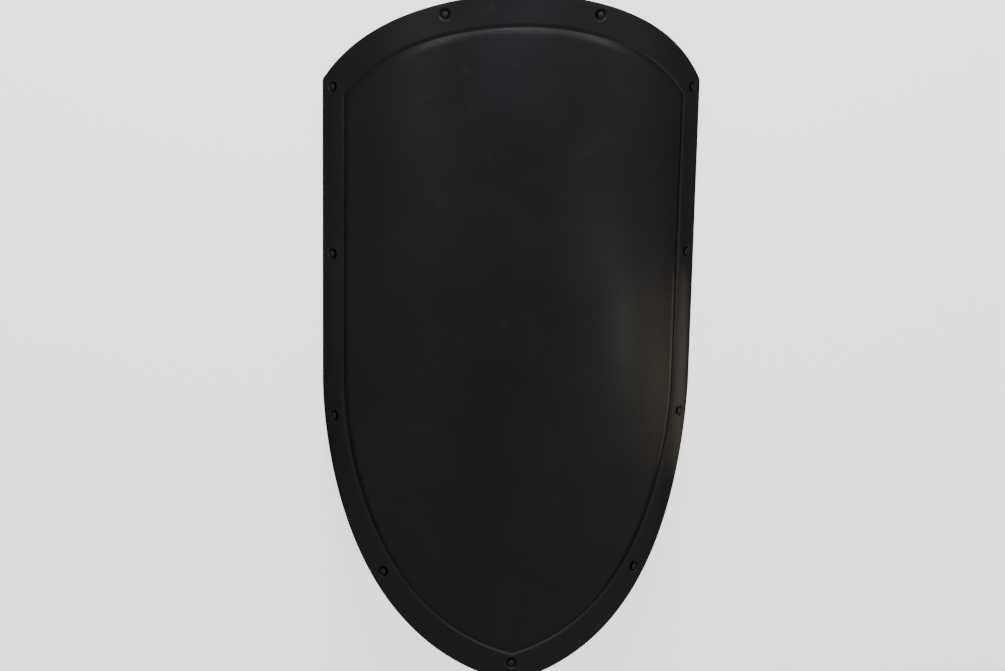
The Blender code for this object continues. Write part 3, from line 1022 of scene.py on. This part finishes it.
class Path:
    """A line that can be walked by distance."""

    def __init__(self, places):
        self.places = places
        self.travelled = [0.0]
        for a, b in zip(places, places[1:]):
            self.travelled.append(self.travelled[-1] + (b - a).length)
        self.length = self.travelled[-1]

    def at(self, distance):
        """The place at this distance, and the way out of the strap's upper face there."""
        k = min(max(bisect_right(self.travelled, distance) - 1, 0), len(self.places) - 2)
        a, b = self.places[k], self.places[k + 1]
        share = (distance - self.travelled[k]) / (self.travelled[k + 1] - self.travelled[k])
        heading = (b - a).normalized()
        return a.lerp(b, share), Vector((-heading.y, heading.x))


def dent(inset, width, depth):
    """A pressed line across the section, as insets and depths."""
    shape = ((-0.5, 0), (-0.25, 0.8), (0, 1), (0.25, 0.8), (0.5, 0))
    return [(inset + width * across, depth * share) for across, share in shape]


def strap_section(width):
    """The closed section of a strap, as places across it and heights, from its upper face's left edge."""
    rim = [(EDGE_ROUNDING, 0)]
    rim += dent(CREASE_INSET, CREASE_WIDTH, CREASE_DEPTH) + dent(GROOVE_INSET, GROOVE_WIDTH, GROOVE_DEPTH)
    inner = width - 2 * rim[-1][0]
    face = rim + [(rim[-1][0] + inner * i / STRAP_FACE_STEPS, 0) for i in range(1, STRAP_FACE_STEPS)]
    face += [(width - inset, depth) for inset, depth in reversed(rim)]
    turns = quarter_turn(EDGE_STEPS)[1:]
    side = [(EDGE_ROUNDING * (1 - math.sin(a)), EDGE_ROUNDING * (1 - math.cos(a))) for a in turns]
    seam = STRAP_THICKNESS / 2
    side += [(0, seam - SEAM_DEPTH), (SEAM_DEPTH, seam)]
    side += [(inset, STRAP_THICKNESS - depth) for inset, depth in reversed(side[:-1])]
    half = [(inset - width / 2, -depth) for inset, depth in face]
    half += [(width / 2 - inset, -depth) for inset, depth in side]
    return half + [(-across, -STRAP_THICKNESS - height) for across, height in half]


def strap_stations(length):
    """Distances along the strap, close together where its ends are rounded."""
    turns = quarter_turn(STRAP_END_STEPS)[:-1]
    end = [EDGE_ROUNDING * (1 - math.cos(a)) for a in turns]
    corner = [END_ROUNDING * (1 - math.cos(a)) for a in turns]
    end += [distance for distance in corner if distance > end[-1] + STATION_REACH]
    steps = math.ceil((length - 2 * END_ROUNDING) / STRAP_STEP)
    middle = [END_ROUNDING + (length - 2 * END_ROUNDING) * i / steps for i in range(steps + 1)]
    return end + middle + [length - distance for distance in reversed(end)]


def rounded(radius, distance):
    """How far a quarter round of this radius is set in, at this distance from where it starts."""
    left = radius - min(distance, radius)
    return radius - math.sqrt(radius * radius - left * left)


def make_leather(name, width, path):
    section = strap_section(width)
    stations = strap_stations(path.length)
    columns, rows = len(stations) - 1, len(section)
    strap = add(bpy.ops.mesh.primitive_grid_add, name, x_subdivisions=columns, y_subdivisions=rows, size=1)
    flat_places = strap.data.attributes.new("strap_place", "FLOAT_VECTOR", "POINT")
    for vert in strap.data.vertices:
        distance = stations[round((vert.co.x + 0.5) * columns)]
        across, height = section[round((vert.co.y + 0.5) * rows) % rows]
        from_end = min(distance, path.length - distance)
        squeeze = rounded(EDGE_ROUNDING, from_end)
        straight = width / 2 - END_ROUNDING
        if abs(across) > straight:
            share = 1 - rounded(END_ROUNDING, from_end) / END_ROUNDING
            across = math.copysign(straight + (abs(across) - straight) * share, across)
        across *= 1 - 2 * squeeze / width
        height = (height + STRAP_THICKNESS / 2) * (1 - 2 * squeeze / STRAP_THICKNESS) - STRAP_THICKNESS / 2
        place, out = path.at(distance)
        place = place + height * out
        vert.co = (across, place.x, place.y)
        flat_places.data[vert.index].vector = (width / 2 - abs(across), distance, height)
    weld(strap)
    with editing(strap, "EDGE"):
        pick(strap, "edges", lambda edge: edge.is_boundary)
        bpy.ops.mesh.fill_holes(sides=0)
    face_outwards(strap)
    return strap


def make_stitch():
    """One stitch along Y, its thread dipping into the leather at both ends. Z = 0 is the leather's face."""
    stitch = add(
        bpy.ops.mesh.primitive_cylinder_add, "stitch", vertices=THREAD_SIDES, radius=THREAD_RADIUS,
        depth=STITCH_LENGTH, rotation=(math.pi / 2, 0, 0),
    )
    settle(stitch)
    for end in (1, -1):
        with editing(stitch):
            pick(stitch, "faces", lambda face: face.normal.y * end > SQUARE_ON)
            for dip in (THREAD_RADIUS / 2, 2 * THREAD_RADIUS):
                move = {"value": (0, end * STITCH_DIVE / 2, -dip)}
                bpy.ops.mesh.extrude_region_move(TRANSFORM_OT_translate=move)
            bpy.ops.transform.resize(value=(STITCH_TAPER, 1, STITCH_TAPER))
    smooth(stitch, SMOOTH_THREAD)
    return stitch


def make_stitches(name, width, path):
    """The rows of stitches along both edges of both faces, left out where the end plates lie."""
    pattern = make_stitch()
    count = math.floor((path.length - 2 * FOOT_LENGTH) / STITCH_PITCH)
    start = (path.length - (count - 1) * STITCH_PITCH) / 2
    stitches = []
    for i in range(count):
        place, out = path.at(start + i * STITCH_PITCH)
        heading = Vector((0, out.y, -out.x))
        for face, drop in ((1, 0), (-1, STRAP_THICKNESS)):
            spot = place - out * (drop + face * (GROOVE_DEPTH - THREAD_RADIUS / 2))
            normal = face * Vector((0, out.x, out.y))
            turn = Matrix((heading.cross(normal), heading, normal)).transposed().to_4x4()
            for edge in (1, -1):
                across = edge * (width / 2 - GROOVE_INSET)
                stitches.append(copy_of(pattern, name, Matrix.Translation((across, spot.x, spot.y)) @ turn))
    bpy.data.objects.remove(pattern)
    return join(stitches, name)


def sink_cutter(places, top, face):
    """What is cut for the studs: a bore and a conical sink that leaves the plate's face."""
    rim = STUD_RADIUS + FIT_GAP / math.sin(STUD_CONE)
    sink = (rim - STUD_BORE) * math.tan(STUD_CONE)
    low = face - KEEPER_THICKNESS
    profile = [(0, top), (STUD_BORE, top), (STUD_BORE, face + sink), (rim, face), (rim, low), (0, low)]
    pattern = turned("sink", profile)
    cutters = [copy_of(pattern, "sink", Matrix.Translation((*place, 0))) for place in places]
    bpy.data.objects.remove(pattern)
    return join(cutters, "sinks")


def make_keeper(name, width, foot, under):
    """The steel plate under one strap end, with rounded corners and filed edges."""
    keeper = add(
        bpy.ops.mesh.primitive_cube_add, name, size=1, location=(0, foot, under - KEEPER_THICKNESS / 2),
        scale=(width - 2 * KEEPER_MARGIN, KEEPER_LENGTH, KEEPER_THICKNESS),
    )
    settle(keeper)
    upright = KEEPER_THICKNESS / 2
    with editing(keeper, "EDGE"):
        pick(keeper, "edges", lambda edge: abs(edge.verts[0].co.z - edge.verts[1].co.z) > upright)
        bpy.ops.mesh.bevel(offset=KEEPER_CORNER, segments=KEEPER_CORNER_STEPS, affect="EDGES")
    with editing(keeper):
        pick(keeper, "faces", lambda face: abs(face.normal.z) > SQUARE_ON)
        bpy.ops.mesh.inset(thickness=FILED_EDGE, use_individual=True)
    apply_modifier(
        keeper, "BEVEL", width=KEEPER_EDGE, segments=KEEPER_EDGE_STEPS, limit_method="ANGLE",
        angle_limit=math.radians(60),
    )
    return keeper


def make_stud(name, place, top, face):
    sink = (STUD_RADIUS - STUD_SHANK) * math.tan(STUD_CONE)
    head = [(STUD_RADIUS, face), (STUD_RADIUS - FILED_EDGE, face), (0, face)]
    stud = turned(name, [(0, top), (STUD_SHANK, top), (STUD_SHANK, face + sink)] + head)
    stud.location = (*place, 0)
    settle(stud)
    return stud


def make_strap(name, turn, width, span, room):
    """One strap with its stitches, and the plates and studs that hold its ends."""
    seat = math.sqrt(BACK_RADIUS ** 2 - (width / 2) ** 2) - FIT_GAP
    under = seat - STRAP_THICKNESS - FIT_GAP
    face = under - KEEPER_THICKNESS
    feet = {"upper": (span + FOOT_LENGTH) / 2, "lower": -(span + FOOT_LENGTH) / 2}
    reach = width / 2 - STUD_MARGIN
    places = [Vector((across * reach, foot)) for foot in feet.values() for across in (1, -1)]
    path = Path(strap_path(span, room, seat))

    leather = make_leather(f"{name}_leather", width, path)
    leather.data.materials.append(bridle_leather)
    cut(leather, sink_cutter(places, seat + STRAP_THICKNESS, face))
    smooth(leather, SMOOTH_LEATHER)
    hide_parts(name)
    stitches = make_stitches(f"{name}_stitches", width, path)
    stitches.data.materials.append(waxed_thread)
    steel = []
    for end, foot in feet.items():
        keeper = make_keeper(f"{name}_keeper_{end}", width, foot, under)
        cut(keeper, sink_cutter(places, under + KEEPER_THICKNESS, face))
        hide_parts(f"{name}_plate_{end}")
        steel.append(keeper)
    top = math.sqrt(BACK_RADIUS ** 2 - reach ** 2) - 2 * FIT_GAP
    for i, place in enumerate(places, 1):
        stud = make_stud(f"{name}_flush_stud_{i}", place, top, face)
        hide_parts(f"{name}_stud_{i}")
        steel.append(stud)
    for piece in steel:
        smooth(piece, SMOOTH_STEEL)
        piece.data.materials.append(blackened_steel)

    stand = Matrix.Translation((0, STRAP_MIDDLE, AXIS_HEIGHT)) @ Matrix.Rotation(turn, 4, "Y")
    strap = [leather, stitches] + steel
    for piece in strap:
        piece.data.transform(stand)
    return strap


field_paint = paint_finish("field_paint", field_shelter, none, field_exposure, scuffs=field_scuffs, rub=0.15)
back_paint = paint_finish("back_paint", none, none, none, peel=1.4, scratches=0.7)
band_paint = paint_finish("band_paint", none, seat_shade, band_exposure)
rivet_paint = paint_finish(
    "rivet_paint", none, head_shade, head_exposure, worn=RIVET_RUBBED, rub=0.75, scratches=0.2
)
bridle_leather = leather_finish()
waxed_thread = thread_finish()
blackened_steel = steel_finish()

pieces = [make_plate(), make_band()] + make_rivets()
for name, sizes in STRAPS.items():
    pieces += make_strap(name, **sizes)
for piece in pieces:
    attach(piece, "root")


# Floor, light and camera.

FLOOR_SIZE = 12
CAMERA_PLACE = (-0.3614, 0.9022, 3.2684)
CAMERA_TURN = (-15.679, -5.906, 1.036)
CAMERA_LENS = 92.29
WORLD_GREY = (0.415, 0.415, 0.415, 1)
WHITE = (1.0, 1.0, 1.0)
COOL = (0.96, 0.92, 1.0)
CROWN = (0, 0.3, 0.1)
MIDDLE = (0, 0.1, 0.1)

# Each light: its azimuth from the crown towards +X, its elevation, how far off it is, its width and height,
# its power in watts, its colour, what it is aimed at, and what it shows in: the sheen of things, their own
# colour, or both.
LIGHTS = {
    "crown_softbox": (0, 30, 1.6, (1.6, 0.6), 42, (1.0, 0.98, 1.0), CROWN, "colour"),
    "crown_window": (8, 62, 3.3, (3.2, 0.8), 35, (0.94, 0.89, 1.0), CROWN, "sheen"),
    "crown_left": (-58, 37, 1.6, (0.8, 0.7), 4, COOL, CROWN, "sheen"),
    "crown_right": (64, 34, 1.6, (0.9, 0.6), 4, COOL, CROWN, "sheen"),
    "top_lamp": (166, 80, 0.3, (0.34, 0.08), 0.048, (0.62, 0.52, 1.0), (-0.011, 0.40, 0.123), "sheen"),
    "left_window": (-108, 45, 2.0, (0.9, 1.4), 0.30, (0.97, 0.97, 1.0), MIDDLE, "both"),
    "left_lamp": (-80, 45, 1.1, (0.6, 0.6), 0.42, WHITE, (-0.1, 0.3, 0.1), "both"),
    "left_low": (-104, -2, 0.2, (0.5, 0.02), 0.013, WHITE, (-0.229, 0.17, 0.021), "sheen"),
    "right_window": (108, 42, 2.0, (0.9, 1.4), 0.42, WHITE, MIDDLE, "both"),
    "patch_high": (108, 38, 0.5, (0.10, 0.14), 0.022, WHITE, (0.109, 0.14, 0.103), "sheen"),
    "patch_middle": (107, 25, 0.5, (0.10, 0.12), 0.082, (1.0, 1.0, 0.88), (0.143, 0.016, 0.088), "sheen"),
    "low_lamp": (106, 5, 0.55, (0.16, 0.08), 0.083, (1.0, 0.80, 0.56), (0.21, -0.06, 0.04), "sheen"),
    "rim_glow": (0, -90, 0.098, (0.05, 0.30), 0.037, (1.0, 0.82, 0.62), (0.282, -0.08, 0.1), "sheen"),
    "under_lamp": (0, -90, 1.2, (0.6, 0.6), 20, WHITE, (0, 0, 0), "both"),
}


def make_floor():
    floor = add(bpy.ops.mesh.primitive_plane_add, "floor", size=FLOOR_SIZE)
    floor.data.materials.append(floor_finish())


def make_camera():
    turn = [math.radians(angle) for angle in CAMERA_TURN]
    camera = add(bpy.ops.object.camera_add, "Camera", location=CAMERA_PLACE, rotation=turn)
    camera.data.lens = CAMERA_LENS
    bpy.context.scene.camera = camera


def make_light(name, azimuth, elevation, distance, size, power, colour, aim, shows_in):
    azimuth, elevation = math.radians(azimuth), math.radians(elevation)
    level = math.cos(elevation)
    towards = Vector((math.sin(azimuth) * level, math.cos(azimuth) * level, math.sin(elevation)))
    turn = towards.to_track_quat("Z", "Y").to_euler()
    light = add(
        bpy.ops.object.light_add, name, type="AREA", location=Vector(aim) + distance * towards, rotation=turn
    )
    light.data.shape = "ELLIPSE"
    light.data.size, light.data.size_y = size
    light.data.energy = power
    light.data.color = colour
    light.visible_camera = False
    light.visible_diffuse = shows_in != "sheen"
    light.visible_glossy = shows_in != "colour"
    return light


def shine_through_floor(light):
    """Lets this light reach the shield through the floor, and light nothing else."""
    lit = bpy.data.collections.new("shield_pieces")
    for piece in pieces:
        lit.objects.link(piece)
    light.light_linking.receiver_collection = lit
    light.light_linking.blocker_collection = lit


def make_world():
    world = bpy.data.worlds.new("studio")
    world.use_nodes = True
    world.node_tree.nodes["Background"].inputs["Color"].default_value = WORLD_GREY
    bpy.context.scene.world = world


make_floor()
make_camera()
make_world()
lights = {name: make_light(name, *settings) for name, settings in LIGHTS.items()}
shine_through_floor(lights["under_lamp"])
